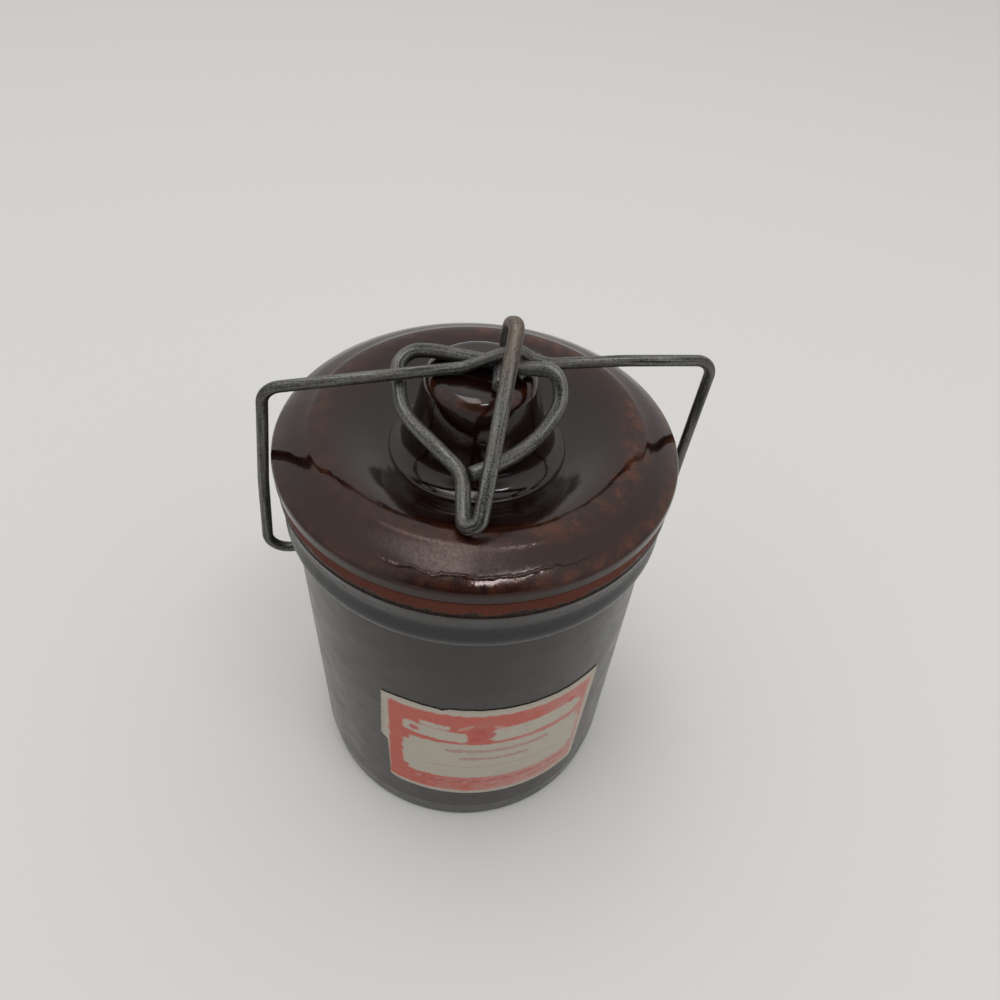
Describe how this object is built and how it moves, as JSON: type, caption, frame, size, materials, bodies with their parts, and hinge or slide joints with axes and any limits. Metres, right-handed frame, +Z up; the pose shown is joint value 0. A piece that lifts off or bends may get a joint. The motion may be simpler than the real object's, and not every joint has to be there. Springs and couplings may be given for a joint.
{
  "type": "stoneware crock with wire bail",
  "caption": "Brown-glazed stoneware crock, shut by a knobbed stoneware lid under a sprung wire bail and a bent-wire lever, with a faded paper label on its front.",
  "frame": {"origin": "centre of the flat foot, on the surface the crock stands on", "axes": "+Z up through the knob, X along the bail's ear axis, -Y towards the label and the lever's finger tip"},
  "size_m": [0.0954, 0.0834, 0.1306],
  "materials": {
    "glaze": "dark brown gloss glaze that thins to red-brown on its edges",
    "wire": "oxidised drawn steel wire, dull dark grey",
    "label": "faded printed paper, coral frame on cream"
  },
  "bodies": {
    "root": {"crock": "glaze", "lid": "glaze", "bail_wire": "wire", "lever_wire": "wire", "label": "label"}
  },
  "joints": []
}
